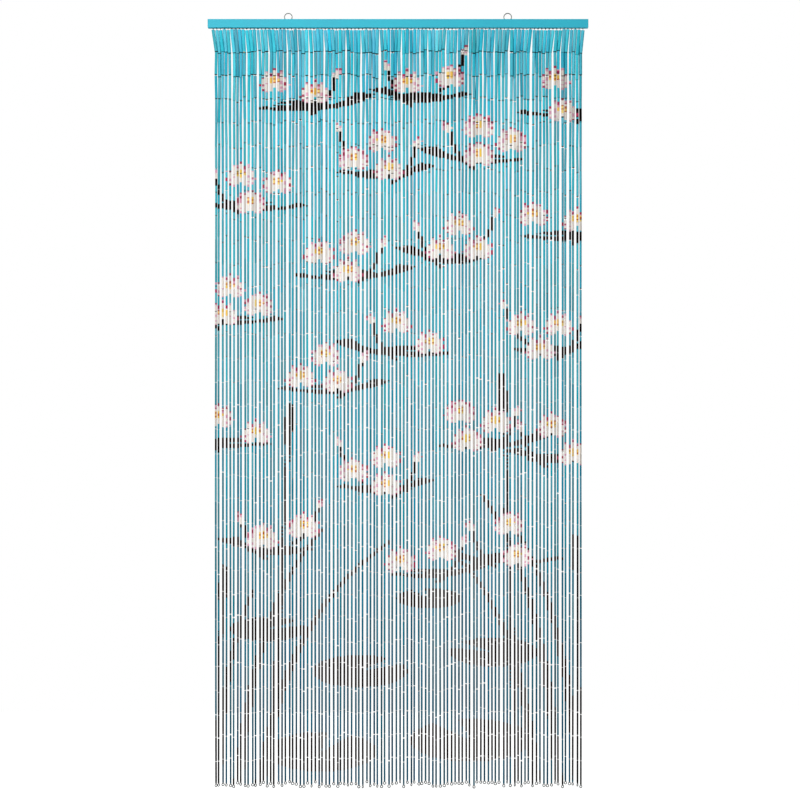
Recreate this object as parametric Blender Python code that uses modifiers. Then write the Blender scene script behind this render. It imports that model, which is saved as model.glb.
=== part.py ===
"""A door curtain of bamboo tubes on wire, hung from a painted batten by two screw eyes.

Units are metres and +Z is up. The origin lies midway between the two points where hooks
bear on the insides of the eyes, and the front of the curtain faces -Y.
"""

import math
import random

import bpy
import bmesh

# The batten that carries the curtain
BATTEN_LENGTH = 0.991
BATTEN_DEPTH = 0.018
BATTEN_HEIGHT = 0.022
BATTEN_EDGE = 0.0008
BATTEN_EDGE_STEPS = 2

# The two screw eyes, bent from round wire and bedded in the top edge
EYE_SPACING = 0.572
EYE_OUTER_DIAMETER = 0.022
EYE_WIRE = 0.0022
EYE_PROUD = 0.0175
EYE_START_ANGLE = -75
EYE_END_ANGLE = 232
EYE_ARC_STEPS = 24
SHANK_LENGTH = 0.0125
EYE_CLEARANCE = 0.00035
EYE_END_CLEARANCE = 0.0005

# The strands: tubes threaded end to end, thick at the top and thin at the foot
STRAND_COUNT = 100
HOOK_PITCH = 0.00974
STRAND_PITCH = 0.00962
TUBE_ROWS = 32
TUBE_PITCH = 0.0614
FIRST_JOINT_DROP = 0.085
FIRST_TUBE_DROP = 0.0268
HOOK_WIDTH = 0.002
FOOT_DIAMETER = 0.0042
BODY_TAPER = 0.0017
HEAD_FLARE = 0.0044
FLARE_LENGTH = 2.2
FLARE_SCATTER = 0.35
BUTT_DIAMETER = 0.0092

# How the strands gather in groups, wander sideways and back and forth, and how unevenly they
# end. The squeeze is how much nearer than their pitch the strands of a group hang at the head.
# The shares are parts of the room between neighbours; the loose rows are the first few joints.
STRAND_SEED = 41
SMALLEST_GROUP = 2
LARGEST_GROUP = 6
GROUP_SQUEEZE = 0.0009
GROUP_FADE = 10.0
MOST_WANDER = 0.0018
HEAD_OVERLAP = 0.0013
LEAN_SHARE = 0.85
SWAY_SHARE = 0.2
FOOT_SHARE = 0.3
FOOT_SHARPNESS = 6
LOOSE_ROWS = 6
LOOSE_FADE = 4.0
STAGGER = 0.0027
FOOT_STAGGER = 0.0011
END_SCATTER = 0.007

# The wire ring at each foot, as a slim lozenge
RING_HEIGHT = 0.0095
RING_WIDTH = 0.006
NECK_WIDTH = 0.0016
NECK_DROP = 0.0012

# The strip that joins the strands under the batten
STRIP_GAP = 0.0003
STRIP_HEIGHT = 0.002
STRIP_DEPTH = 0.003
STRIP_OVERHANG = 0.002

# The joints between tubes at which a strand's solid has a section
SECTION_ROWS = (1, 3, 8, 19)

# Wires are swept with 8 sides and strands with 4; points this close are one point
WIRE_ROUNDNESS = 2
STRAND_ROUNDNESS = 0
WELD_DISTANCE = 1e-6
SMOOTH_BELOW = 50

EYE_RADIUS = (EYE_OUTER_DIAMETER - EYE_WIRE) / 2
EYE_CENTRE_Z = EYE_WIRE - EYE_OUTER_DIAMETER / 2
BATTEN_TOP_Z = EYE_WIRE - EYE_PROUD
BATTEN_BOTTOM_Z = BATTEN_TOP_Z - BATTEN_HEIGHT
STRIP_TOP_Z = BATTEN_BOTTOM_Z - STRIP_GAP
MIDDLE_STRAND = (STRAND_COUNT - 1) / 2


def empty_the_scene():
    for obj in list(bpy.data.objects):
        bpy.data.objects.remove(obj)


def new_collection(name):
    collection = bpy.data.collections.new(name)
    bpy.context.scene.collection.children.link(collection)
    return collection


def finish(name, color, roughness, metallic=0.0):
    """A plain material for one part."""
    material = bpy.data.materials.new(name)
    material.use_nodes = True
    shader = material.node_tree.nodes["Principled BSDF"]
    shader.inputs["Base Color"].default_value = (*color, 1.0)
    shader.inputs["Roughness"].default_value = roughness
    shader.inputs["Metallic"].default_value = metallic
    return material


def box(name, collection, size, centre):
    """A box of the given size, with its faces square to the axes."""
    mesh = bpy.data.meshes.new(name)
    shape = bmesh.new()
    bmesh.ops.create_cube(shape, size=1.0)
    bmesh.ops.scale(shape, vec=size, verts=shape.verts)
    shape.to_mesh(mesh)
    shape.free()
    obj = bpy.data.objects.new(name, mesh)
    obj.location = centre
    collection.objects.link(obj)
    return obj


def wires(name, collection, paths, roundness):
    """A mesh of wires, each swept along a path of (x, y, z, half width) rows."""
    curve = bpy.data.curves.new(name, "CURVE")
    curve.dimensions = "3D"
    curve.bevel_depth = 1.0
    curve.bevel_resolution = roundness
    curve.use_fill_caps = True
    for path in paths:
        spline = curve.splines.new("POLY")
        spline.points.add(len(path) - 1)
        for point, (x, y, z, half_width) in zip(spline.points, path):
            point.co = (x, y, z, 1.0)
            point.radius = half_width
    guide = bpy.data.objects.new(name + "_path", curve)
    collection.objects.link(guide)
    bpy.context.view_layer.update()
    evaluated = guide.evaluated_get(bpy.context.evaluated_depsgraph_get())
    mesh = bpy.data.meshes.new_from_object(evaluated)
    mesh.name = name
    shape = bmesh.new()
    shape.from_mesh(mesh)
    bmesh.ops.remove_doubles(shape, verts=shape.verts, dist=WELD_DISTANCE)
    bmesh.ops.recalc_face_normals(shape, faces=shape.faces)
    shape.to_mesh(mesh)
    shape.free()
    obj = bpy.data.objects.new(name, mesh)
    obj.matrix_world = guide.matrix_world
    collection.objects.link(obj)
    bpy.data.objects.remove(guide)
    return obj


def combine(target, other, operation):
    modifier = target.modifiers.new(operation.title() + " " + other.name, "BOOLEAN")
    modifier.operation = operation
    modifier.object = other
    modifier.solver = "EXACT"


def hide_as_cutter(obj):
    obj.hide_render = True
    obj.display_type = "WIRE"


def eye_path(x, half_width, end_clearance):
    """Up the shank, once round the ring and back down to its free end."""
    ring_foot_z = EYE_CENTRE_Z - EYE_RADIUS
    path = [
        (x, 0.0, ring_foot_z - SHANK_LENGTH - end_clearance, half_width),
        (x, 0.0, ring_foot_z - EYE_WIRE, half_width),
    ]
    first_angle = math.radians(EYE_START_ANGLE)
    last_angle = math.radians(EYE_END_ANGLE) + end_clearance / EYE_RADIUS
    for step in range(EYE_ARC_STEPS + 1):
        angle = first_angle + (last_angle - first_angle) * step / EYE_ARC_STEPS
        ring_x = x + EYE_RADIUS * math.cos(angle)
        ring_z = EYE_CENTRE_Z + EYE_RADIUS * math.sin(angle)
        path.append((ring_x, 0.0, ring_z, half_width))
    return path


def tube_diameter(row, flare_share):
    """A cane thins from butt to tip, fastest over its first few tubes."""
    fraction = row / TUBE_ROWS
    flare = HEAD_FLARE * flare_share * math.exp(-row / FLARE_LENGTH)
    return min(BUTT_DIAMETER, FOOT_DIAMETER + BODY_TAPER * (1 - fraction) + flare)


def group_pulls(chance):
    """Strands gather in small groups. Each is pulled by so many pitches to the group's middle."""
    pulls = []
    while len(pulls) < STRAND_COUNT:
        size = chance.randint(SMALLEST_GROUP, LARGEST_GROUP)
        pulls += [(size - 1) / 2 - place for place in range(size)]
    return pulls[:STRAND_COUNT]


def strand_habits():
    """What sets each strand apart: its girth, its lean, its loose joints and its length."""
    chance = random.Random(STRAND_SEED)
    habits = []
    for pull in group_pulls(chance):
        habit = {
            "pull": pull,
            "flare": 1 + FLARE_SCATTER * chance.uniform(-1, 1),
            "offset": chance.uniform(-1, 1),
            "loose": [chance.uniform(-1, 1) for row in range(LOOSE_ROWS)],
            "phase": chance.uniform(0, math.tau),
            "foot": chance.uniform(-1, 1),
            "end": chance.uniform(-1, 1),
        }
        habits.append(habit)
    return habits


def strand_place(index, habit, row):
    """Where a strand lies, in x and y, at the lower end of a row of tubes."""
    drawn_in = min(row, 1.0)
    pitch = HOOK_PITCH + (STRAND_PITCH - HOOK_PITCH) * drawn_in
    squeeze = GROUP_SQUEEZE * math.exp(-max(row - 1, 0) / GROUP_FADE)
    diameter = tube_diameter(row, habit["flare"])
    room = min(MOST_WANDER, (STRAND_PITCH - squeeze + HEAD_OVERLAP - diameter) / 2)
    lean = habit["offset"]
    if 1 <= row <= LOOSE_ROWS:
        looseness = math.exp(-(row - 1) / LOOSE_FADE)
        lean += (habit["loose"][row - 1] - habit["offset"]) * looseness
    sway = math.sin(math.tau * row / TUBE_ROWS + habit["phase"])
    foot = habit["foot"] * (row / TUBE_ROWS) ** FOOT_SHARPNESS
    wander = LEAN_SHARE * lean + SWAY_SHARE * sway + FOOT_SHARE * foot
    wander = max(-1.0, min(1.0, wander)) * drawn_in
    side = 1 if index % 2 else -1
    depth = FOOT_STAGGER + (STAGGER - FOOT_STAGGER) * math.exp(-(row - 1) / LOOSE_FADE)
    x = (index - MIDDLE_STRAND) * pitch + squeeze * habit["pull"] * drawn_in + room * wander
    y = side * depth * drawn_in
    return x, y


def strand_path(index, habit):
    """One strand's sections, from the strip down to the foot of its ring."""
    flare = habit["flare"]
    x, y = strand_place(index, habit, 0)
    path = [
        (x, y, STRIP_TOP_Z - STRIP_HEIGHT / 2, HOOK_WIDTH / 2),
        (x, y, BATTEN_TOP_Z - FIRST_TUBE_DROP, tube_diameter(0.5, flare) / 2),
    ]
    for row in SECTION_ROWS:
        x, y = strand_place(index, habit, row)
        z = BATTEN_TOP_Z - FIRST_JOINT_DROP - (row - 1) * TUBE_PITCH
        path.append((x, y, z, tube_diameter(row, flare) / 2))
    x, y = strand_place(index, habit, TUBE_ROWS)
    end_z = BATTEN_TOP_Z - FIRST_JOINT_DROP - (TUBE_ROWS - 1) * TUBE_PITCH
    end_z -= END_SCATTER * habit["end"]
    path.append((x, y, end_z, tube_diameter(TUBE_ROWS, flare) / 2))
    path.append((x, y, end_z - NECK_DROP, NECK_WIDTH / 2))
    path.append((x, y, end_z - NECK_DROP - RING_HEIGHT / 2, RING_WIDTH / 2))
    path.append((x, y, end_z - NECK_DROP - RING_HEIGHT, NECK_WIDTH / 2))
    return path


def build():
    empty_the_scene()
    parts = new_collection("bamboo_door_curtain")
    cutters = new_collection("cutters")
    paint = finish("turquoise_paint", (0.055, 0.5, 0.66), 0.55)
    steel = finish("bright_steel", (0.5, 0.5, 0.49), 0.35, 1.0)
    bamboo = finish("painted_bamboo", (0.08, 0.36, 0.46), 0.5)

    # The batten, with a pocket for each eye
    batten_size = (BATTEN_LENGTH, BATTEN_DEPTH, BATTEN_HEIGHT)
    batten_centre = (0.0, 0.0, BATTEN_TOP_Z - BATTEN_HEIGHT / 2)
    batten = box("batten", parts, batten_size, batten_centre)
    batten.data.materials.append(paint)
    eased = batten.modifiers.new("Eased edges", "BEVEL")
    eased.width = BATTEN_EDGE
    eased.segments = BATTEN_EDGE_STEPS

    for side, x in (("left", -EYE_SPACING / 2), ("right", EYE_SPACING / 2)):
        eye = wires("screw_eye_" + side, parts, [eye_path(x, EYE_WIRE / 2, 0.0)], WIRE_ROUNDNESS)
        eye.data.materials.append(steel)
        eye.data.shade_smooth()
        eye.data.set_sharp_from_angle(angle=math.radians(SMOOTH_BELOW))
        pocket_half_width = EYE_WIRE / 2 + EYE_CLEARANCE
        pocket_path = eye_path(x, pocket_half_width, EYE_END_CLEARANCE)
        pocket = wires("pocket_" + side, cutters, [pocket_path], WIRE_ROUNDNESS)
        hide_as_cutter(pocket)
        combine(batten, pocket, "DIFFERENCE")

    # The strands, fused to the strip they hang from
    paths = [strand_path(index, habit) for index, habit in enumerate(strand_habits())]
    strands = wires("bamboo_strands", parts, paths, STRAND_ROUNDNESS)
    strands.data.materials.append(bamboo)
    strip_length = (STRAND_COUNT - 1) * HOOK_PITCH + HOOK_WIDTH + 2 * STRIP_OVERHANG
    strip_size = (strip_length, STRIP_DEPTH, STRIP_HEIGHT)
    strip = box("strip", cutters, strip_size, (0.0, 0.0, STRIP_TOP_Z - STRIP_HEIGHT / 2))
    hide_as_cutter(strip)
    combine(strands, strip, "UNION")


build()
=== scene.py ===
import math
import random
from itertools import groupby

import bpy
import numpy as np
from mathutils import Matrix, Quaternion, Vector


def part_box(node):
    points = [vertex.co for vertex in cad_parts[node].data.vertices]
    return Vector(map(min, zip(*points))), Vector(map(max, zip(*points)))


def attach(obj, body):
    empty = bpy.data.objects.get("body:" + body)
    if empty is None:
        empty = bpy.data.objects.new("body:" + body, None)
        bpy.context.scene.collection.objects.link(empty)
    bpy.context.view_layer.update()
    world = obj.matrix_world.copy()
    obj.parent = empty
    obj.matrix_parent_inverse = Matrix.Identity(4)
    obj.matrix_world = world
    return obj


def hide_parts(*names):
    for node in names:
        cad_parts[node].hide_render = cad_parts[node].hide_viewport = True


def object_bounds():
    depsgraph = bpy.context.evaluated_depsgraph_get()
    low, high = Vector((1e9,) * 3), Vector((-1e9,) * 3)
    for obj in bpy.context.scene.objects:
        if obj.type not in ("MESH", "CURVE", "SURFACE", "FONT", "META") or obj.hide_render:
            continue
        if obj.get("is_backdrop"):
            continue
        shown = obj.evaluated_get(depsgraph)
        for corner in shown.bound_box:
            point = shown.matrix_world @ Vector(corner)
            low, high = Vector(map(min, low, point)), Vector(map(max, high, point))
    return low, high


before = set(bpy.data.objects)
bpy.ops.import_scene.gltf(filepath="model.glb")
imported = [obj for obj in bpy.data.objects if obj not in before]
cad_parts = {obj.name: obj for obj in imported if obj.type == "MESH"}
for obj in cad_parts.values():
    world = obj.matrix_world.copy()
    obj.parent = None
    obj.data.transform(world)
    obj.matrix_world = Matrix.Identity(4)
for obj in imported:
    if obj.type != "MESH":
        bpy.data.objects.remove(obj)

cad_low, cad_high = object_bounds()


# The batten is a planed softwood strip with eased edges, brushed with two coats of turquoise
# paint after it was cut. It is the CAD solid itself, with the pockets that hold the two eyes.
batten_low, batten_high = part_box("batten")


def linear(hex_colour):
    """An sRGB hex colour as the linear red, green, blue and alpha that a shader takes."""
    channels = [int(hex_colour[place:place + 2], 16) / 255 for place in (1, 3, 5)]
    curved = [c / 12.92 if c <= 0.04045 else ((c + 0.055) / 1.055) ** 2.4 for c in channels]
    return (*curved, 1.0)


def add(tree, kind, feeds=None, **settings):
    """Adds a node. A feed names an input, and is a plain value or the socket that links to it."""
    node = tree.nodes.new(kind)
    for name, value in settings.items():
        setattr(node, name, value)
    sockets = {socket.name: socket for socket in reversed(node.inputs)}
    sockets.update({socket.identifier: socket for socket in node.inputs})
    for name, value in (feeds or {}).items():
        if isinstance(value, bpy.types.NodeSocket):
            tree.links.new(value, sockets[name])
        else:
            sockets[name].default_value = value
    return node


def new_finish(name):
    """A material with an empty node tree, and that tree."""
    finish = bpy.data.materials.new(name)
    finish.use_nodes = True
    finish.node_tree.nodes.clear()
    return finish, finish.node_tree


# A Mix node of colours gives its result on its third output.
MIXED_COLOUR = 2

# Satin water-based paint brushed on softwood: an even colour, a little patchy where the second
# coat is thin, about 110 mm from patch to patch, with ridges left by the bristles. The ridges
# run along the batten for some 125 mm, and are drawn 1.5 mm apart so that they show.
PATCHES_PER_METRE = 9.0
RIDGES_PER_METRE = (8, 670, 670)
satin_paint, tree = new_finish("satin paint on softwood")
place = add(tree, "ShaderNodeTexCoord")
patches = add(tree, "ShaderNodeTexNoise", {
    "Vector": place.outputs["Object"], "Scale": PATCHES_PER_METRE, "Detail": 2.0,
})
coat = add(tree, "ShaderNodeMix", {
    "Factor_Float": patches.outputs["Fac"],
    "A_Color": linear("#38B7CE"),
    "B_Color": linear("#42C8DA"),
}, data_type="RGBA")
ridge_place = add(tree, "ShaderNodeMapping", {
    "Vector": place.outputs["Object"], "Scale": RIDGES_PER_METRE,
})
ridges = add(tree, "ShaderNodeTexNoise", {
    "Vector": ridge_place.outputs["Vector"], "Scale": 1.0, "Detail": 3.0,
})
ridge_shade = add(tree, "ShaderNodeMapRange", {
    "Value": ridges.outputs["Fac"], "To Min": 0.93, "To Max": 1.05,
})
ridged_coat = add(tree, "ShaderNodeVectorMath", {
    "Vector": coat.outputs[MIXED_COLOUR], "Scale": ridge_shade.outputs["Result"],
}, operation="SCALE")
gloss = add(tree, "ShaderNodeMapRange", {
    "Value": patches.outputs["Fac"], "To Min": 0.42, "To Max": 0.6,
})
relief = add(tree, "ShaderNodeBump", {
    "Height": ridges.outputs["Fac"], "Strength": 0.25, "Distance": 0.0002,
})
shader = add(tree, "ShaderNodeBsdfPrincipled", {
    "Base Color": ridged_coat.outputs["Vector"],
    "Specular IOR Level": 0.35,
    "Roughness": gloss.outputs["Result"],
    "Normal": relief.outputs["Normal"],
})
add(tree, "ShaderNodeOutputMaterial", {"Surface": shader.outputs["BSDF"]})

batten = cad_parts["batten"]
batten.data.materials.clear()
batten.data.materials.append(satin_paint)


# The two screw eyes are bent from 2.2 mm steel wire, zinc plated, and turned into the batten's
# top edge until the foot of the ring beds in the wood. They are bent rounder than the CAD ones.
EYE_START, EYE_END = math.radians(-75), math.radians(232)
EYE_STEPS = 56
EYE_SIDES = 12

# What each attribute of a point holds, and the field that it is filled through
COLUMNS = {
    "turn": ("FLOAT_VECTOR", "vector"),
    "size": ("FLOAT_VECTOR", "vector"),
    "cast": ("FLOAT_VECTOR", "vector"),
    "coat": ("FLOAT_COLOR", "color"),
    "core": ("BOOLEAN", "value"),
}


def new_shape_tree(name, inputs):
    """A Geometry Nodes tree with named inputs, and its group input node."""
    tree = bpy.data.node_groups.new(name, "GeometryNodeTree")
    for socket, kind in inputs:
        tree.interface.new_socket(name=socket, in_out="INPUT", socket_type="NodeSocket" + kind)
    tree.interface.new_socket(name="Shape", in_out="OUTPUT", socket_type="NodeSocketGeometry")
    return tree, add(tree, "NodeGroupInput")


def end_shape_tree(tree, instances, finish):
    """The end of each tree: the instances become one real mesh with its finish."""
    real = add(tree, "GeometryNodeRealizeInstances", {"Geometry": instances})
    finished = add(tree, "GeometryNodeSetMaterial", {
        "Geometry": real.outputs["Geometry"], "Material": finish,
    })
    add(tree, "NodeGroupOutput", {"Shape": finished.outputs["Geometry"]})


def place_on_points(tree, points, shape, selection=None):
    """Sets a shape on the points, turned and sized by their attributes."""
    turn = add(tree, "GeometryNodeInputNamedAttribute", {"Name": "turn"}, data_type="FLOAT_VECTOR")
    size = add(tree, "GeometryNodeInputNamedAttribute", {"Name": "size"}, data_type="FLOAT_VECTOR")
    rotation = add(tree, "FunctionNodeEulerToRotation", {"Euler": turn.outputs["Attribute"]})
    feeds = {
        "Points": points,
        "Instance": shape,
        "Rotation": rotation.outputs["Rotation"],
        "Scale": size.outputs["Attribute"],
    }
    if selection:
        feeds["Selection"] = selection
    placed = add(tree, "GeometryNodeInstanceOnPoints", feeds)
    return placed.outputs["Instances"]


def grow(name, tree, points, settings):
    """Runs a tree over a set of points and keeps what it makes as a plain mesh on the root body."""
    mesh = bpy.data.meshes.new(name)
    mesh.from_pydata([point["spot"] for point in points], [], [])
    for column in points[0].keys() & COLUMNS.keys():
        kind, field = COLUMNS[column]
        values = np.array([point[column] for point in points]).ravel()
        mesh.attributes.new(column, kind, "POINT").data.foreach_set(field, values)
    cloud = bpy.data.objects.new(name, mesh)
    bpy.context.collection.objects.link(cloud)
    modifier = cloud.modifiers.new("shape", "NODES")
    modifier.node_group = tree
    for socket in tree.interface.items_tree:
        if socket.name in settings:
            modifier[socket.identifier] = settings[socket.name]
    depsgraph = bpy.context.evaluated_depsgraph_get()
    grown = bpy.data.meshes.new_from_object(
        cloud.evaluated_get(depsgraph), preserve_all_data_layers=True, depsgraph=depsgraph,
    )
    bpy.data.objects.remove(cloud)
    piece = bpy.data.objects.new(name, grown)
    bpy.context.collection.objects.link(piece)
    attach(piece, "root")
    return piece


# The tree for wire: a length is bent along a path, and a copy of it is set on each point.
wire_tree, group = new_shape_tree("bent wire", (
    ("Points", "Geometry"),
    ("Path", "Object"),
    ("Wire", "Float"),
    ("Sides", "Int"),
    ("Finish", "Material"),
))
path = add(wire_tree, "GeometryNodeObjectInfo", {"Object": group.outputs["Path"]})
half_wire = add(wire_tree, "ShaderNodeMath", {
    "Value": group.outputs["Wire"], "Value_001": 0.5,
}, operation="MULTIPLY")
section = add(wire_tree, "GeometryNodeCurvePrimitiveCircle", {
    "Resolution": group.outputs["Sides"], "Radius": half_wire.outputs["Value"],
})
bent = add(wire_tree, "GeometryNodeCurveToMesh", {
    "Curve": path.outputs["Geometry"],
    "Profile Curve": section.outputs["Curve"],
    "Fill Caps": True,
})
smooth = add(wire_tree, "GeometryNodeSetShadeSmooth", {"Geometry": bent.outputs["Mesh"]})
wires = place_on_points(wire_tree, group.outputs["Points"], smooth.outputs["Geometry"])
end_shape_tree(wire_tree, wires, group.outputs["Finish"])


def bend_wire(name, paths, wire, sides, points, finish, node):
    """Bends wire along paths, each a list of points and whether it closes, for every point."""
    curve = bpy.data.curves.new(name, "CURVE")
    curve.dimensions = "3D"
    for path, closed in paths:
        spline = curve.splines.new("POLY")
        spline.points.add(len(path) - 1)
        spline.points.foreach_set("co", np.array([(*spot, 1.0) for spot in path]).ravel())
        spline.use_cyclic_u = closed
    guide = bpy.data.objects.new(name + "_path", curve)
    bpy.context.collection.objects.link(guide)
    settings = {"Path": guide, "Wire": wire, "Sides": sides, "Finish": finish}
    piece = grow(name, wire_tree, points, settings)
    bpy.data.objects.remove(guide)
    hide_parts(node)


def arc(centre, radii, start, end, steps):
    """Points along an arc or oval that faces the front, about a centre in X and Z."""
    turns = [start + (end - start) * step / steps for step in range(steps + 1)]
    return [
        (centre[0] + radii[0] * math.cos(turn), 0.0, centre[1] + radii[1] * math.sin(turn))
        for turn in turns
    ]


def at(spot, turn=(0.0, 0.0, 0.0), size=(1.0, 1.0, 1.0), **rest):
    """One point for a tree."""
    return {"spot": tuple(spot), "turn": tuple(turn), "size": tuple(size), **rest}


# Zinc plating on drawn steel: a cool bright metal with a faint bloom, duller in patches about
# 3 mm across where it has been handled.
BLOOM_PER_METRE = 330.0
zinc, tree = new_finish("zinc plated steel wire")
place = add(tree, "ShaderNodeTexCoord")
bloom = add(tree, "ShaderNodeTexNoise", {
    "Vector": place.outputs["Object"], "Scale": BLOOM_PER_METRE, "Detail": 3.0,
})
metal = add(tree, "ShaderNodeMix", {
    "Factor_Float": bloom.outputs["Fac"],
    "A_Color": linear("#767C7A"),
    "B_Color": linear("#A2A7A4"),
}, data_type="RGBA")
dullness = add(tree, "ShaderNodeMapRange", {
    "Value": bloom.outputs["Fac"], "To Min": 0.24, "To Max": 0.42,
})
shader = add(tree, "ShaderNodeBsdfPrincipled", {
    "Base Color": metal.outputs[MIXED_COLOUR],
    "Metallic": 1.0,
    "Roughness": dullness.outputs["Result"],
})
add(tree, "ShaderNodeOutputMaterial", {"Surface": shader.outputs["BSDF"]})

for side in ("left", "right"):
    low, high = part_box("screw_eye_" + side)
    eye_wire = high.y - low.y
    ring_radius = (high.x - low.x - eye_wire) / 2
    centre = ((low.x + high.x) / 2, high.z - eye_wire / 2 - ring_radius)
    shank = [(centre[0], 0.0, low.z), (centre[0], 0.0, centre[1] - ring_radius - eye_wire)]
    ring = arc(centre, (ring_radius, ring_radius), EYE_START, EYE_END, EYE_STEPS)
    bend_wire(
        "steel_eye_" + side, [(shank + ring, False)], eye_wire, EYE_SIDES, [at((0, 0, 0))],
        zinc, "screw_eye_" + side,
    )


# The strands are where everything else hangs. Each one starts at its own hook, is drawn in by
# the first joint, gathers with its neighbours in a small group, and wanders a little to its foot.
# The sizes and the order of the random draws are those of the CAD solid, so the two lie together.
STRANDS = 100
HOOK_PITCH = 0.00974
STRAND_PITCH = 0.00962
ROWS = 32
TUBE_PITCH = 0.0614
FIRST_JOINT_DROP = 0.085
FIRST_TUBE_DROP = 0.0268
FOOT_DIAMETER, BODY_TAPER = 0.0042, 0.0017
HEAD_FLARE, FLARE_ROWS, FLARE_SCATTER = 0.0044, 2.2, 0.35
BUTT_DIAMETER = 0.0092
STRAND_SEED = 41
SMALLEST_GROUP, LARGEST_GROUP = 2, 6
GROUP_SQUEEZE, GROUP_FADE = 0.0009, 10.0
MOST_WANDER = 0.0018
HEAD_OVERLAP = 0.0013
LEAN_SHARE, SWAY_SHARE, FOOT_SHARE, FOOT_SHARPNESS = 0.85, 0.2, 0.3, 6
LOOSE_ROWS, LOOSE_FADE = 6, 4.0
STAGGER, FOOT_STAGGER = 0.0027, 0.0011
END_SCATTER = 0.007

# How much the tubes differ in length, and how unevenly the first ones start
LENGTH_SCATTER = 0.0028
FIRST_TUBE_SCATTER = 0.0016


def tube_diameter(row, flare_share):
    """A cane thins from butt to tip, fastest over its first few tubes."""
    flare = HEAD_FLARE * flare_share * math.exp(-row / FLARE_ROWS)
    return min(BUTT_DIAMETER, FOOT_DIAMETER + BODY_TAPER * (1 - row / ROWS) + flare)


def group_pulls(chance):
    """How many pitches each strand is pulled by, to the middle of its group."""
    pulls = []
    while len(pulls) < STRANDS:
        size = chance.randint(SMALLEST_GROUP, LARGEST_GROUP)
        pulls += [(size - 1) / 2 - place for place in range(size)]
    return pulls[:STRANDS]


def strand_habits():
    """What sets each strand apart from its neighbours."""
    chance = random.Random(STRAND_SEED)
    habits = []
    for pull in group_pulls(chance):
        habit = {
            "pull": pull,
            "flare": 1 + FLARE_SCATTER * chance.uniform(-1, 1),
            "offset": chance.uniform(-1, 1),
            "loose": [chance.uniform(-1, 1) for row in range(LOOSE_ROWS)],
            "phase": chance.uniform(0, math.tau),
            "foot": chance.uniform(-1, 1),
            "end": chance.uniform(-1, 1),
        }
        habits.append(habit)
    return habits


def strand_place(index, habit, row):
    """Where a strand lies, in x and y, at the lower end of a row of tubes."""
    drawn_in = min(row, 1.0)
    pitch = HOOK_PITCH + (STRAND_PITCH - HOOK_PITCH) * drawn_in
    squeeze = GROUP_SQUEEZE * math.exp(-max(row - 1, 0) / GROUP_FADE)
    diameter = tube_diameter(row, habit["flare"])
    room = min(MOST_WANDER, (STRAND_PITCH - squeeze + HEAD_OVERLAP - diameter) / 2)
    lean = habit["offset"]
    if 1 <= row <= LOOSE_ROWS:
        looseness = math.exp(-(row - 1) / LOOSE_FADE)
        lean += (habit["loose"][row - 1] - habit["offset"]) * looseness
    sway = math.sin(math.tau * row / ROWS + habit["phase"])
    foot = habit["foot"] * (row / ROWS) ** FOOT_SHARPNESS
    wander = LEAN_SHARE * lean + SWAY_SHARE * sway + FOOT_SHARE * foot
    wander = max(-1.0, min(1.0, wander)) * drawn_in
    depth = FOOT_STAGGER + (STAGGER - FOOT_STAGGER) * math.exp(-(row - 1) / LOOSE_FADE)
    x = (index - (STRANDS - 1) / 2) * pitch + squeeze * habit["pull"] * drawn_in + room * wander
    y = (depth if index % 2 else -depth) * drawn_in
    return x, y


def joint_drops(habit, chance):
    """How far each joint lies below the batten's top. Tubes differ, but strands end about level."""
    steps = [chance.gauss(0, LENGTH_SCATTER) for row in range(ROWS)]
    excess = sum(steps) - END_SCATTER * habit["end"]
    drops = [FIRST_TUBE_DROP + chance.uniform(-1, 1) * FIRST_TUBE_SCATTER]
    shift = 0.0
    for row, step in enumerate(steps):
        shift += step - excess / ROWS
        drops.append(FIRST_JOINT_DROP + row * TUBE_PITCH + shift)
    return drops


chance = random.Random(STRAND_SEED + 1)
habits = strand_habits()
strands = []
for index, habit in enumerate(habits):
    joints = []
    for row, drop in enumerate(joint_drops(habit, chance)):
        x, y = strand_place(index, habit, row)
        joints.append(Vector((x, y, batten_high.z - drop)))
    strands.append(joints)


# The picture is painted by hand across the finished strands: lotus flowers and buds on the
# ripples of a pond, with empty pads, reeds and bulrushes at its foot. It is worked out dab by
# dab, in one column for each strand, before the tubes are made. Heights count from its lower
# edge, which lies a little below the rings.
DAB = 0.003
PICTURE_DROP = 2.05
PICTURE_HEIGHT = 2.0
picture_foot = batten_high.z - PICTURE_DROP
column_x = (np.arange(STRANDS) - (STRANDS - 1) / 2) * STRAND_PITCH
dab_x, dab_h = np.meshgrid(column_x, np.arange(0, PICTURE_HEIGHT, DAB), indexing="ij")
GROUND, INK, CREAM, BLUSH, ROSE, YOLK, AMBER, PAINTED_END_SHADE = range(8)
picture = np.full(dab_x.shape, GROUND)

# A brush stroke is stamped this often, never narrower than a strand's pitch, and thins to a tip
STAMPS = 120
THINNEST_BRUSH = 0.0104
TIP_WIDTH, TAPER = 0.008, 1.3


def paint_blade(root, bend, tip, width, tip_width=TIP_WIDTH):
    """A round brush drawn along a curve from root to tip, lifted as it goes."""
    for share in np.linspace(0, 1, STAMPS):
        x, height = (
            (1 - share) ** 2 * root[k] + 2 * share * (1 - share) * bend[k] + share ** 2 * tip[k]
            for k in (0, 1)
        )
        brush = max(THINNEST_BRUSH, tip_width + (width - tip_width) * (1 - share) ** TAPER)
        for column in np.flatnonzero(np.abs(column_x - x) < brush / 2):
            reach = math.sqrt((brush / 2) ** 2 - (column_x[column] - x) ** 2)
            low, high = (max(0, round((height + end) / DAB)) for end in (-reach, reach))
            picture[column, low:high] = INK


# Half the angle of a pad's notch, in radians
NOTCH_HALF_ANGLE = 0.22


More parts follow.
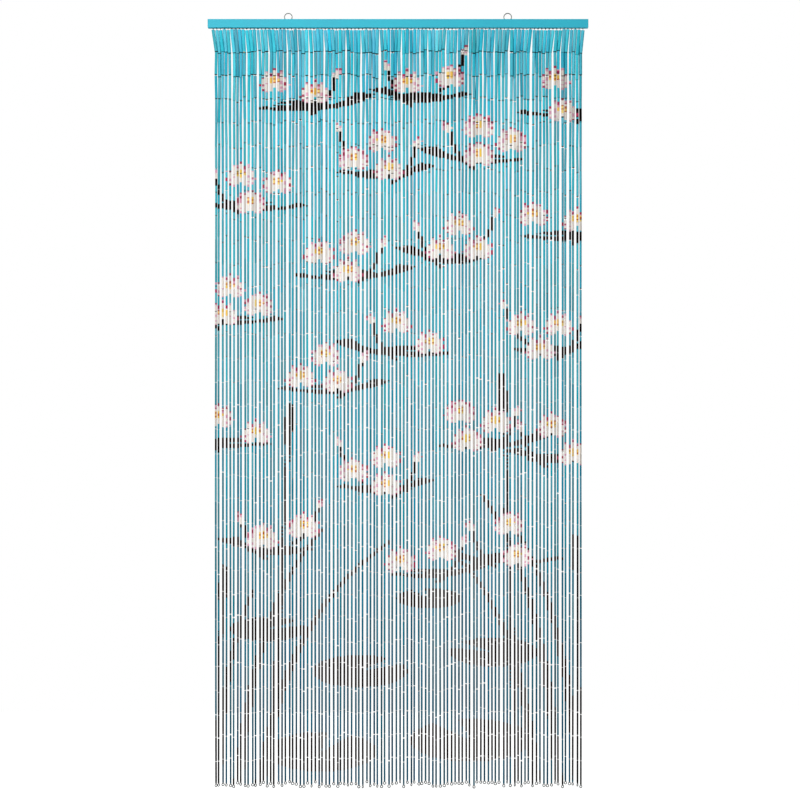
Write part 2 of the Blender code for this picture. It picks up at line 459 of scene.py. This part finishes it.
def paint_pad(x, height, half_width, half_height, notch):
    """A floating leaf, seen as a flat ellipse with a notch cut to its middle."""
    across, up = (dab_x - x) / half_width, (dab_h - height) / half_height
    cut = np.abs(np.arctan2(up, across) - math.radians(notch)) < NOTCH_HALF_ANGLE
    picture[(across ** 2 + up ** 2 < 1) & ~cut] = INK


# Reeds grow in clumps and fan out, bend most above their middle, and are shorter away from the
# tallest. Each clump: middle x, lean of the tips, height, leaves.
REED_PITCH, REED_FAN, REED_WIDTH = 0.055, 0.11, 0.029
LEAN_SPREAD = 0.3
TALLEST_LEAF, LEAF_LOSS = 0.4, 0.2
REED_BEND, REED_BEND_HEIGHT = 0.15, 0.72
for middle, lean, height, leaves in (
    (-0.42, 0.22, 0.78, 3),
    (0.42, -0.20, 0.88, 3),
):
    for leaf in range(leaves):
        spread = leaf - (leaves - 1) / 2
        root = middle + REED_PITCH * spread
        tip_x = middle + lean * (1 + LEAN_SPREAD * spread) + REED_FAN * spread
        tip_h = height * (1 - LEAF_LOSS * abs(spread - TALLEST_LEAF))
        bend = (root + REED_BEND * (tip_x - root), REED_BEND_HEIGHT * tip_h)
        paint_blade((root, 0.0), bend, (tip_x, tip_h), REED_WIDTH)

# Bulrushes: root x, lean of the tip, height, length of the seed head. The bend and the neck of a
# rush are shares of its lean, and the widths of its seed head are shares of the head's length.
RUSH_WIDTH = 0.020
RUSH_BEND, RUSH_NECK = 0.35, 0.16
SEED_WIDTH, SEED_TIP_WIDTH = 0.3, 0.24
for root, lean, height, head in (
    (-0.33, 0.05, 1.04, 0.085),
    (-0.475, 0.02, 0.62, 0.075),
    (0.31, -0.04, 1.12, 0.085),
    (0.475, -0.015, 0.70, 0.075),
):
    tip = (root + lean, height)
    paint_blade((root, 0.0), (root + RUSH_BEND * lean, height / 2), tip, RUSH_WIDTH)
    neck = (tip[0] - RUSH_NECK * lean, height - head)
    middle = (tip[0] - RUSH_NECK / 2 * lean, height - head / 2)
    paint_blade(neck, middle, tip, SEED_WIDTH * head, SEED_TIP_WIDTH * head)

# Empty pads: middle x, height, half width, half height, angle of the notch
for pad in (
    (-0.20, 0.14, 0.145, 0.052, 70),
    (0.19, 0.17, 0.160, 0.056, 115),
    (-0.10, 0.35, 0.125, 0.042, 40),
    (0.25, 0.40, 0.115, 0.038, 150),
    (-0.34, 0.46, 0.100, 0.032, 30),
    (0.08, 0.54, 0.085, 0.026, 110),
):
    paint_pad(*pad)

# How a petal curls and bellies, and the shares of its length where its blush, its rose touches
# and its point begin. The touches come and go along the rim.
PETAL_CURL, PETAL_BELLY, PETAL_FULLNESS = 0.4, 0.75, 0.8
BLUSH_START, ROSE_START, POINT_START = 0.3, 0.55, 0.84
TOUCHES, TOUCH_SHIFT, TOUCH_LEVEL = 23, 5, -0.2


def paint_petal(foot, angle, length, width, rim):
    """A pointed oval of cream, blushed along its rim, with touches of rose near the point."""
    run, rise = length * math.sin(angle), length * math.cos(angle)
    along = ((dab_x - foot[0]) * run + (dab_h - foot[1]) * rise) / length ** 2
    across = ((dab_x - foot[0]) * rise - (dab_h - foot[1]) * run) / length
    across -= PETAL_CURL * run * along * (1 - along)
    half = width / 2 * np.sin(np.pi * np.clip(along, 0, 1) ** PETAL_BELLY) ** PETAL_FULLNESS
    inside = (along > 0) & (along < 1) & (np.abs(across) < half)
    by_rim = (half - np.abs(across) < rim) | (along > POINT_START)
    edge = inside & by_rim & (along > BLUSH_START)
    touched = np.sin(along * TOUCHES + angle * TOUCH_SHIFT) > TOUCH_LEVEL
    rosy = edge & (along > ROSE_START) & touched
    picture[inside] = CREAM
    picture[edge] = BLUSH
    picture[rosy] = ROSE


# The turns of a lotus flower's petals in degrees, from the outer ones inwards. A petal would be
# shortened to nothing at a turn of 520 degrees, so the outer ones are a sixth shorter. The
# other sizes of a flower are shares of its own size, but for its rim and its speckles.
PETAL_TURNS = (84, -84, 56, -56, 28, -28, 0)
SHORTENING = 520
PETAL_WIDTH, RIM = 0.56, 0.004
HEART_STRETCH, HEART_HEIGHT, HEART_RADIUS = 1.3, 0.34, 0.2
SPECKLE_WAVES, SPECKLE_LEVEL = (900, 600), 0.35


def paint_lotus(x, height, size):
    """A fan of petals with a speckled yellow heart."""
    for degrees in PETAL_TURNS:
        length = size * (1 - abs(degrees) / SHORTENING)
        paint_petal((x, height), math.radians(degrees), length, PETAL_WIDTH * size, RIM)
    away = np.hypot((dab_x - x) / HEART_STRETCH, dab_h - height - HEART_HEIGHT * size)
    heart = away < HEART_RADIUS * size
    waves = np.sin(dab_x * SPECKLE_WAVES[0]) * np.sin(dab_h * SPECKLE_WAVES[1])
    speckled = waves > SPECKLE_LEVEL
    picture[heart] = YOLK
    picture[heart & speckled] = AMBER


# A ripple is part of a flat ellipse, thin where it runs level and swollen at its steep end
RIPPLE_FLATNESS = 0.3
RIPPLE_SWEEP = 105
RIPPLE_THIN, RIPPLE_SWELL = 0.0034, 0.005
LEAST_SPREAD = 0.01


def paint_ripple(x, height, half_width, start):
    """Nearly a third of a flat ellipse, from a start in degrees."""
    across, up = (dab_x - x) / half_width, (dab_h - height) / (half_width * RIPPLE_FLATNESS)
    spread = np.maximum(np.hypot(across, up), LEAST_SPREAD)
    off = np.abs(spread - 1) * half_width * RIPPLE_FLATNESS
    turn = np.degrees(np.arctan2(up, across)) % 360
    drawn = (turn - start) % 360 < RIPPLE_SWEEP
    brushed = off < RIPPLE_THIN + RIPPLE_SWELL * (across / spread) ** 2
    picture[drawn & brushed] = INK


# Lotus flowers grow in groups round a middle, each group on its own pad and ripple, with a bud
# on one side and on every third group another on the other side. A bud: how far to the side
# and how high it stands from the middle, and its length. A stalk: how far its foot and its
# bend lie from the bud, to the side and down.
FLOWERS_WIDE, FLOWERS_HIGH = 0.057, 0.042
NEAR_BUD, FAR_BUD = (0.105, 0.035, 0.034), (0.09, 0.075, 0.030)
BUD_LEAN, BUD_WIDTH, BUD_RIM = 0.4, 0.62, 0.0055
STALK_FOOT, STALK_BEND, STALK_WIDTH = (0.06, 0.09), (0.01, 0.06), 0.011
PAD_OFFSET, PAD_DROP = 0.02, 0.035
PAD_HALF_WIDTH, PAD_HALF_HEIGHT, PAD_TURN = 0.075, 0.013, 80
RIPPLE_RISE, RIPPLE_REACH, REACH_STEP = 0.01, 0.15, 0.02
RIPPLE_STARTS = (195, 242, 207, 232)
flowers, buds = [], []

# Each group: middle x, height, flowers, size, turn of the first flower from the middle
for place, (x, height, count, size, first) in enumerate((
    (-0.30, 0.70, 2, 0.054, 20),
    (0.06, 0.64, 2, 0.052, 200),
    (0.30, 0.68, 2, 0.050, 100),
    (-0.06, 0.86, 3, 0.050, 60),
    (-0.42, 0.98, 2, 0.050, 150),
    (0.20, 0.98, 3, 0.052, 10),
    (0.43, 0.94, 2, 0.052, 120),
    (-0.20, 1.12, 3, 0.050, 80),
    (0.04, 1.22, 2, 0.050, 140),
    (0.37, 1.22, 3, 0.050, 30),
    (-0.42, 1.30, 3, 0.050, 110),
    (-0.15, 1.42, 3, 0.052, 50),
    (0.16, 1.46, 3, 0.050, 90),
    (0.41, 1.52, 2, 0.050, 170),
    (-0.37, 1.60, 3, 0.050, 15),
    (-0.06, 1.68, 3, 0.050, 70),
    (0.24, 1.72, 3, 0.052, 120),
    (-0.27, 1.86, 2, 0.048, 160),
    (0.08, 1.88, 2, 0.048, 10),
    (0.42, 1.84, 2, 0.048, 100),
)):
    for flower in range(count):
        turn = math.radians(first + 360 * flower / count)
        spot = (x + FLOWERS_WIDE * math.cos(turn), height + FLOWERS_HIGH * math.sin(turn))
        flowers.append((*spot, size))
    side = 1 if place % 2 else -1
    away, up, length = NEAR_BUD
    buds.append((x + away * side, height + up, length, side))
    if place % 3 == 0:
        away, up, length = FAR_BUD
        buds.append((x - away * side, height + up, length, -side))
    pad_x, pad_height = x + PAD_OFFSET * side, height - PAD_DROP
    notch = 90 + PAD_TURN * side
    paint_pad(pad_x, pad_height, PAD_HALF_WIDTH, PAD_HALF_HEIGHT, notch)
    half_width = RIPPLE_REACH + REACH_STEP * (place % 3)
    start = RIPPLE_STARTS[place % len(RIPPLE_STARTS)]
    paint_ripple(x, height + RIPPLE_RISE, half_width, start)
for x, height, length, side in buds:
    root, bend = (
        (x - away * side, height - down) for away, down in (STALK_FOOT, STALK_BEND)
    )
    paint_blade(root, bend, (x, height), STALK_WIDTH)
for flower in flowers:
    paint_lotus(*flower)
for x, height, length, side in buds:
    paint_petal((x, height), BUD_LEAN * side, length, BUD_WIDTH * length, BUD_RIM)


# Towards the head, most tubes get a dark band round their lower end: painted shade for the shadow in
# the joint gap beneath each tube
END_SHADE_HEIGHT = 0.0014
END_SHADE_SHARE, END_SHADE_FADE = 0.85, 12.0


def paint_bands(index, low, high, end_shaded):
    """Cuts a stretch of a strand where its paint changes: lower end, upper end and paint."""
    first, last = (round((end - picture_foot) / DAB) for end in (low, high))
    dabs = picture[index, np.clip(np.arange(first, last), 0, picture.shape[1] - 1)]
    bands, foot, step = [], low, first
    # A tube with painted shade at its lower end starts with that dark band
    if end_shaded:
        foot = low + END_SHADE_HEIGHT
        bands.append((low, foot, PAINTED_END_SHADE))
    for paint, run in groupby(dabs):
        step += len(list(run))
        head = high if step == last else picture_foot + step * DAB
        if head > foot:
            bands.append((foot, head, paint))
            foot = head
    return bands


# The tubes are thin bamboo canes, sawn into 60 mm lengths and threaded in the order they grew,
# so each strand thins towards its foot. Each tube is hollow, and its wall is divided where the
# picture changes colour, so that every brush mark has the hard level edge of the real ones.
SNUG_GAP, FOOT_GAP, LOOSE_GAP = 0.0005, 0.0012, 0.003
FOOT_GAP_GROWTH, LOOSE_GAP_RARITY = 2, 6
SIDES = 10
BORE_SHARE = 0.5
WIDTH_SCATTER = 0.035
WELD = 0.00002
CREASE = math.radians(50)
ROWS_BY_PIECE = {"head": range(1, 10), "middle": range(10, 21), "foot": range(21, ROWS + 1)}
COATS = {
    GROUND: (0.0, 0.0, 0.0, 0.0),
    INK: linear("#080606"),
    CREAM: linear("#E2DAD2"),
    BLUSH: linear("#D8A4B8"),
    ROSE: linear("#AC3A60"),
    YOLK: linear("#EAC862"),
    AMBER: linear("#C0662E"),
    # The last coat is the dark band of painted shade under a tube's lower end
    PAINTED_END_SHADE: linear("#10262C"),
}
# The bore and both sawn ends are one dark brown: painted shade for the hollow and for the shaded
# gaps between tubes
SHADED_END_COLOUR = linear("#2E2A24")

# The tree for tubes: a wall on each point of painted wall, and on each other point a core,
# which is the bore and the two sawn ends. Both are one unit across and one unit long.
tube_tree, group = new_shape_tree("bamboo tubes", (
    ("Points", "Geometry"),
    ("Sides", "Int"),
    ("Bore share", "Float"),
    ("Weld", "Float"),
    ("Finish", "Material"),
))
half_bore = add(tube_tree, "ShaderNodeMath", {
    "Value": group.outputs["Bore share"], "Value_001": 0.5,
}, operation="MULTIPLY")
wall = add(tube_tree, "GeometryNodeMeshCylinder", {
    "Vertices": group.outputs["Sides"], "Radius": 0.5, "Depth": 1.0,
}, fill_type="NONE")
bore = add(tube_tree, "GeometryNodeMeshCylinder", {
    "Vertices": group.outputs["Sides"], "Radius": half_bore.outputs["Value"], "Depth": 1.0,
}, fill_type="NONE")
inward_bore = add(tube_tree, "GeometryNodeFlipFaces", {"Mesh": bore.outputs["Mesh"]})
sawn_end = add(tube_tree, "GeometryNodeMeshCone", {
    "Vertices": group.outputs["Sides"],
    "Radius Top": half_bore.outputs["Value"],
    "Radius Bottom": 0.5,
    "Depth": 0.0,
}, fill_type="NONE")
upper_end = add(tube_tree, "GeometryNodeTransform", {
    "Geometry": sawn_end.outputs["Mesh"], "Translation": (0, 0, 0.5),
})
lower_end = add(tube_tree, "GeometryNodeTransform", {
    "Geometry": sawn_end.outputs["Mesh"], "Translation": (0, 0, -0.5), "Rotation": (math.pi, 0, 0),
})
core = add(tube_tree, "GeometryNodeJoinGeometry")
tube_tree.links.new(inward_bore.outputs["Mesh"], core.inputs["Geometry"])
for end in (upper_end, lower_end):
    tube_tree.links.new(end.outputs["Geometry"], core.inputs["Geometry"])
is_core = add(tube_tree, "GeometryNodeInputNamedAttribute", {"Name": "core"}, data_type="BOOLEAN")
is_wall = add(tube_tree, "FunctionNodeBooleanMath", {
    "Boolean": is_core.outputs["Attribute"],
}, operation="NOT")
walls = place_on_points(
    tube_tree, group.outputs["Points"], wall.outputs["Mesh"], is_wall.outputs["Boolean"],
)
cores = place_on_points(
    tube_tree, group.outputs["Points"], core.outputs["Geometry"], is_core.outputs["Attribute"],
)
both = add(tube_tree, "GeometryNodeJoinGeometry")
for part in (walls, cores):
    tube_tree.links.new(part, both.inputs["Geometry"])
real = add(tube_tree, "GeometryNodeRealizeInstances", {"Geometry": both.outputs["Geometry"]})
painted = real.outputs["Geometry"]
for column, kind in (("coat", "FLOAT_COLOR"), ("cast", "FLOAT_VECTOR")):
    value = add(tube_tree, "GeometryNodeInputNamedAttribute", {"Name": column}, data_type=kind)
    painted = add(tube_tree, "GeometryNodeStoreNamedAttribute", {
        "Geometry": painted, "Name": "face_" + column, "Value": value.outputs["Attribute"],
    }, data_type=kind, domain="FACE").outputs["Geometry"]
for column in COLUMNS:
    painted = add(tube_tree, "GeometryNodeRemoveAttribute", {
        "Geometry": painted, "Name": column,
    }).outputs["Geometry"]
welded = add(tube_tree, "GeometryNodeMergeByDistance", {
    "Geometry": painted, "Distance": group.outputs["Weld"],
})
end_shape_tree(tube_tree, welded.outputs["Geometry"], group.outputs["Finish"])

# Water-based paint on bamboo: nearly matt, with the fibres of the cane showing through as fine
# streaks along the tube, drawn 1.2 mm apart so that they show. The ground colour was sprayed
# first, from light turquoise at the head to deep teal at the foot, and the picture brushed over
# it. Each tube took the paint a little differently, and a few are rubbed through to the cane, in
# spots that come about 17 mm apart where they come at all.
FIBRES_PER_METRE = (830, 830, 14)
RUBS_PER_METRE = 60.0
painted_bamboo, tree = new_finish("water-based paint on bamboo")
place = add(tree, "ShaderNodeTexCoord")
coat = add(tree, "ShaderNodeAttribute", attribute_name="face_coat")
cast = add(tree, "ShaderNodeAttribute", attribute_name="face_cast")
cast_parts = add(tree, "ShaderNodeSeparateXYZ", {"Vector": cast.outputs["Vector"]})
place_parts = add(tree, "ShaderNodeSeparateXYZ", {"Vector": place.outputs["Object"]})
height = add(tree, "ShaderNodeMapRange", {
    "Value": place_parts.outputs["Z"], "From Min": picture_foot, "From Max": batten_low.z,
})
ground = add(tree, "ShaderNodeValToRGB", {"Fac": height.outputs["Result"]})
stops = ground.color_ramp.elements
stops[0].color, stops[1].color = linear("#0C5066"), linear("#41C7DB")
for share, colour in (
    (0.12, "#126076"),
    (0.25, "#1C7A90"),
    (0.42, "#3099AD"),
    (0.6, "#40ABBD"),
    (0.8, "#44BACC"),
):
    stops.new(share).color = linear(colour)
mixed = add(tree, "ShaderNodeMix", {
    "Factor_Float": coat.outputs["Alpha"],
    "A_Color": ground.outputs["Color"],
    "B_Color": coat.outputs["Color"],
}, data_type="RGBA")
hue_spread = add(tree, "ShaderNodeMapRange", {
    "Value": height.outputs["Result"], "To Min": 0.016, "To Max": 0.013,
})
hue = add(tree, "ShaderNodeMath", {
    "Value": cast_parts.outputs["X"], "Value_001": hue_spread.outputs["Result"], "Value_002": 0.5,
}, operation="MULTIPLY_ADD")
tone_spread = add(tree, "ShaderNodeMapRange", {
    "Value": height.outputs["Result"], "To Min": 0.36, "To Max": 0.24,
})
tone = add(tree, "ShaderNodeMath", {
    "Value": cast_parts.outputs["Y"], "Value_001": tone_spread.outputs["Result"], "Value_002": 1.0,
}, operation="MULTIPLY_ADD")
strength_spread = add(tree, "ShaderNodeMapRange", {
    "Value": height.outputs["Result"], "To Min": 0.18, "To Max": 0.08,
})
strength = add(tree, "ShaderNodeMath", {
    "Value": cast_parts.outputs["Z"],
    "Value_001": strength_spread.outputs["Result"],
    "Value_002": 0.92,
}, operation="MULTIPLY_ADD")
toned = add(tree, "ShaderNodeHueSaturation", {
    "Hue": hue.outputs["Value"],
    "Saturation": strength.outputs["Value"],
    "Value": tone.outputs["Value"],
    "Color": mixed.outputs[MIXED_COLOUR],
})
shifted = add(tree, "ShaderNodeVectorMath", {
    "Vector": place.outputs["Object"], "Vector_001": cast.outputs["Vector"],
}, operation="ADD")
fibre_place = add(tree, "ShaderNodeMapping", {
    "Vector": shifted.outputs["Vector"], "Scale": FIBRES_PER_METRE,
})
fibres = add(tree, "ShaderNodeTexNoise", {
    "Vector": fibre_place.outputs["Vector"], "Scale": 1.0, "Detail": 2.0,
})
fibre_shade = add(tree, "ShaderNodeMapRange", {
    "Value": fibres.outputs["Fac"], "From Min": 0.3, "From Max": 0.7, "To Min": 0.82, "To Max": 1.16,
})
streaked = add(tree, "ShaderNodeVectorMath", {
    "Vector": toned.outputs["Color"], "Scale": fibre_shade.outputs["Result"],
}, operation="SCALE")
rubbing = add(tree, "ShaderNodeTexNoise", {
    "Vector": shifted.outputs["Vector"], "Scale": RUBS_PER_METRE, "Detail": 4.0,
})
rubbed = add(tree, "ShaderNodeMapRange", {
    "Value": rubbing.outputs["Fac"], "From Min": 0.76, "From Max": 0.8,
})
worn = add(tree, "ShaderNodeMix", {
    "Factor_Float": rubbed.outputs["Result"],
    "A_Color": streaked.outputs["Vector"],
    "B_Color": linear("#BFAE84"),
}, data_type="RGBA")
gloss = add(tree, "ShaderNodeMapRange", {
    "Value": fibres.outputs["Fac"], "To Min": 0.85, "To Max": 0.6,
})
relief = add(tree, "ShaderNodeBump", {
    "Height": fibres.outputs["Fac"], "Strength": 0.3, "Distance": 0.0003,
})
shader = add(tree, "ShaderNodeBsdfPrincipled", {
    "Base Color": worn.outputs[MIXED_COLOUR],
    "Specular IOR Level": 0.08,
    "Roughness": gloss.outputs["Result"],
    "Normal": relief.outputs["Normal"],
})
add(tree, "ShaderNodeOutputMaterial", {"Surface": shader.outputs["BSDF"]})

tube_points = {part: [] for part in ROWS_BY_PIECE}
for index, joints in enumerate(strands):
    strand_hue, strand_tone = chance.uniform(-1, 1), chance.uniform(-1, 1)
    gaps = [
        SNUG_GAP + FOOT_GAP * (row / ROWS) ** FOOT_GAP_GROWTH
        + LOOSE_GAP * chance.random() ** LOOSE_GAP_RARITY
        for row in range(ROWS + 1)
    ]
    gaps[0] = gaps[ROWS] = 0.0
    for part, rows in ROWS_BY_PIECE.items():
        for row in rows:
            upper, lower = joints[row - 1], joints[row]
            axis = (upper - lower).normalized()
            head = upper - axis * gaps[row - 1] / 2
            foot = lower + axis * gaps[row] / 2
            roll = Quaternion((0, 0, 1), chance.uniform(0, math.tau))
            turn = (Vector((0, 0, 1)).rotation_difference(axis) @ roll).to_euler()
            width = tube_diameter(row - 0.5, habits[index]["flare"])
            width *= 1 + chance.uniform(-1, 1) * WIDTH_SCATTER
            hue_cast = 0.5 * (strand_hue + chance.uniform(-1, 1))
            tone_cast = 0.5 * (strand_tone + chance.uniform(-1, 1))
            look = {"cast": (hue_cast, tone_cast, chance.uniform(-1, 1))}
            length = (head - foot).length
            middle = (head + foot) / 2
            tube_points[part].append(
                at(middle, turn, (width, width, length), core=True, coat=SHADED_END_COLOUR, **look),
            )
            # Most tubes near the head get a band of painted shade at their lower end
            end_shaded = chance.random() < END_SHADE_SHARE * math.exp(-row / END_SHADE_FADE)
            for low, high, paint in paint_bands(index, foot.z, head.z, end_shaded):
                middle = foot + (head - foot) * ((low + high) / 2 - foot.z) / (head.z - foot.z)
                size = (width, width, length * (high - low) / (head.z - foot.z))
                tube_points[part].append(
                    at(middle, turn, size, core=False, coat=COATS[paint], **look),
                )

for part, points in tube_points.items():
    tubes = grow("bamboo_tubes_" + part, tube_tree, points, {
        "Sides": SIDES, "Bore share": BORE_SHARE, "Weld": WELD, "Finish": painted_bamboo,
    })
    tubes.data.shade_smooth()
    tubes.data.set_sharp_from_angle(angle=CREASE)
    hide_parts("bamboo_strands")


# The joints are soft iron wire. Each tube's wire ends in a small loop at both ends, bent round
# the loop of the next tube, and the two loops hang across each other in the gap between tubes.
LINK_WIRE = 0.0006
LINK_SIDES = 3
LOOP_STEPS = 8
LOOP_RADII = (0.00065, 0.0014)
QUARTER_TURN = math.radians(90)

# Annealed iron wire: dull and nearly black with scale from the annealing, in patches about 2 mm
# across where the scale is thinner and the metal shows.
SCALE_PER_METRE = 500.0
iron, tree = new_finish("annealed iron wire")
place = add(tree, "ShaderNodeTexCoord")
scale = add(tree, "ShaderNodeTexNoise", {
    "Vector": place.outputs["Object"], "Scale": SCALE_PER_METRE, "Detail": 2.0,
})
metal = add(tree, "ShaderNodeMix", {
    "Factor_Float": scale.outputs["Fac"],
    "A_Color": linear("#141517"),
    "B_Color": linear("#34363A"),
}, data_type="RGBA")
shader = add(tree, "ShaderNodeBsdfPrincipled", {
    "Base Color": metal.outputs[MIXED_COLOUR], "Metallic": 0.4, "Roughness": 0.55,
})
add(tree, "ShaderNodeOutputMaterial", {"Surface": shader.outputs["BSDF"]})


def oval(height, radii, quarter=False):
    """A closed loop of wire about a height on the strand, facing the front or the side."""
    spots = arc((0.0, height), radii, 0.0, math.tau, LOOP_STEPS)[:-1]
    return ([(y, x, z) for x, y, z in spots] if quarter else spots), True


def turned(spot, chance):
    """A point with a random turn about the strand."""
    return at(spot, (0.0, 0.0, chance.uniform(0, math.tau)))


loop_reach = LOOP_RADII[1] - LINK_WIRE / 2
for part, rows in ROWS_BY_PIECE.items():
    spots = [turned(joints[row], chance) for joints in strands for row in rows if row < ROWS]
    bend_wire(
        "joint_loops_" + part, [oval(loop_reach, LOOP_RADII), oval(-loop_reach, LOOP_RADII, True)],
        LINK_WIRE, LINK_SIDES, spots, iron, "bamboo_strands",
    )


# Each strand hangs on a small iron hook, driven into the underside of the batten and closed to
# a ring. The first tube's wire ends in a long loop that is threaded on it.
HOOK_WIRE = 0.0012
HOOK_SIDES = 6
HOOK_STEPS = 12
HOOK_RADIUS = 0.0012
HOOK_END = math.radians(425)
HOOK_STEM = 0.0004
HOOK_BURIED = 0.0015
HEAD_LOOP_RADII = (0.0009, 0.003)

hook_middle = -HOOK_STEM - HOOK_RADIUS
hook_ring = arc(
    (0.0, hook_middle), (HOOK_RADIUS, HOOK_RADIUS),
    QUARTER_TURN, HOOK_END, HOOK_STEPS,
)
hook_spots = [
    turned((joints[0].x, joints[0].y, batten_low.z), chance) for joints in strands
]
bend_wire(
    "batten_hooks", [([(0.0, 0.0, HOOK_BURIED)] + hook_ring, False)],
    HOOK_WIRE, HOOK_SIDES, hook_spots, iron, "bamboo_strands",
)
head_loop_top = hook_middle - HOOK_RADIUS + (HOOK_WIRE + LINK_WIRE) / 2
crossed = [
    at(spot["spot"], (0.0, 0.0, spot["turn"][2] + QUARTER_TURN)) for spot in hook_spots
]
bend_wire(
    "head_loops", [oval(head_loop_top - HEAD_LOOP_RADII[1], HEAD_LOOP_RADII)],
    LINK_WIRE, LINK_SIDES, crossed, iron, "bamboo_strands",
)


# At its foot each strand ends in a round wire ring, which keeps the last tube on. It hangs in a
# loop on the end of the tube's wire, and its two ends meet with a hair's gap. It is free to
# turn, and lies less than a quarter turn from the front.
RING_WIRE = 0.0019
RING_SIDES = 6
RING_STEPS = 20
RING_RADIUS = 0.0034
RING_GAP = math.radians(7)
RING_TURN = math.radians(62)
RING_ROLLS = (0.25, 1.75)
FOOT_LOOP_RADIUS = 0.0013
FOOT_LOOP_END = math.radians(430)
FOOT_STEM = 0.0002
FOOT_BURIED = 0.0015

foot_middle = -FOOT_STEM - FOOT_LOOP_RADIUS
foot_ring = arc(
    (0.0, foot_middle), (FOOT_LOOP_RADIUS, FOOT_LOOP_RADIUS),
    QUARTER_TURN, FOOT_LOOP_END, HOOK_STEPS,
)
foot_spots = [
    at(joints[ROWS], (0.0, 0.0, QUARTER_TURN + RING_TURN * chance.uniform(-1, 1)))
    for joints in strands
]
bend_wire(
    "foot_loops", [([(0.0, 0.0, FOOT_BURIED)] + foot_ring, False)],
    LINK_WIRE, LINK_SIDES, foot_spots, iron, "bamboo_strands",
)
ring_top = foot_middle - FOOT_LOOP_RADIUS + (LINK_WIRE + RING_WIRE) / 2
ring_drop = ring_top - RING_RADIUS
ring_spots = []
for spot in foot_spots:
    x, y, z = spot["spot"]
    roll = chance.uniform(*RING_ROLLS) * math.pi
    ring_spots.append(at((x, y, z + ring_drop), (0.0, roll, spot["turn"][2] + QUARTER_TURN)))
end_ring = arc(
    (0.0, 0.0), (RING_RADIUS, RING_RADIUS), QUARTER_TURN + RING_GAP / 2,
    QUARTER_TURN + math.tau - RING_GAP / 2, RING_STEPS,
)
bend_wire(
    "end_rings", [(end_ring, False)], RING_WIRE, RING_SIDES, ring_spots, iron, "bamboo_strands",
)


# The studio is a white room with a pale floor, lit by one large soft light near the top of the
# curtain, a weaker one on the other side and one behind, so that the light falls off towards
# the foot.
FLOOR_DROP = 0.045
FLOOR_HALF_WIDTH, FLOOR_HALF_DEPTH = 2.2, 1.5
FLOOR_GLOW, AMBIENT = 0.75, 0.3
LAMP_AIM = Vector((0, 0, -0.6))
CAMERA_SPOT = (0.0052, -5.0, -1.007)
FRAME_WIDTH = 2.086
SENSOR = 36.0
TONE_GAMMA = 0.84

bpy.ops.mesh.primitive_plane_add(size=1.0)
floor = bpy.context.object
floor.name = "studio_floor"
for corner in floor.data.vertices:
    corner.co.x *= 2 * FLOOR_HALF_WIDTH
    corner.co.y *= 2 * FLOOR_HALF_DEPTH
    corner.co.z = cad_low.z - FLOOR_DROP
pale, tree = new_finish("pale studio floor")
shader = add(tree, "ShaderNodeBsdfPrincipled", {
    "Base Color": linear("#E6E6E4"), "Roughness": 0.9,
    "Emission Color": linear("#FFFFFF"), "Emission Strength": FLOOR_GLOW,
})
add(tree, "ShaderNodeOutputMaterial", {"Surface": shader.outputs["BSDF"]})
floor.data.materials.append(pale)
floor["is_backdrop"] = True

room = bpy.data.worlds.new("white room")
room.use_nodes = True
room.node_tree.nodes.clear()
seen = add(room.node_tree, "ShaderNodeLightPath")
glow = add(room.node_tree, "ShaderNodeMapRange", {
    "Value": seen.outputs["Is Camera Ray"], "To Min": AMBIENT, "To Max": 1.0,
})
white = add(room.node_tree, "ShaderNodeBackground", {
    "Color": linear("#FFFFFF"), "Strength": glow.outputs["Result"],
})
add(room.node_tree, "ShaderNodeOutputWorld", {"Surface": white.outputs["Background"]})
bpy.context.scene.world = room

# Lamps: name, place, side of the square lamp, watts
for name, spot, side, watts in (
    ("key_light", (-0.9, -2.5, 0.25), 1.4, 48.0),
    ("fill_light", (1.6, -2.8, -0.5), 1.8, 11.0),
    ("back_light", (0.6, 2.6, 0.1), 1.6, 9.0),
):
    lamp = bpy.data.lights.new(name, "AREA")
    lamp.size = side
    lamp.energy = watts
    holder = bpy.data.objects.new(name, lamp)
    holder.location = spot
    aim = LAMP_AIM - Vector(spot)
    holder.rotation_euler = aim.to_track_quat("-Z", "Y").to_euler()
    bpy.context.collection.objects.link(holder)

camera = bpy.data.objects.new("camera", bpy.data.cameras.new("camera"))
camera.data.sensor_width = SENSOR
camera.data.lens = SENSOR * -CAMERA_SPOT[1] / FRAME_WIDTH
camera.location = CAMERA_SPOT
camera.rotation_euler = (QUARTER_TURN, 0, 0)
bpy.context.collection.objects.link(camera)
bpy.context.scene.camera = camera
# Thin tubes before white mix paler in a render than in a photograph, and a steeper tone curve
# evens that out.
bpy.context.scene.view_settings.view_transform = "Standard"
bpy.context.scene.view_settings.gamma = TONE_GAMMA

low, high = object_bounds()
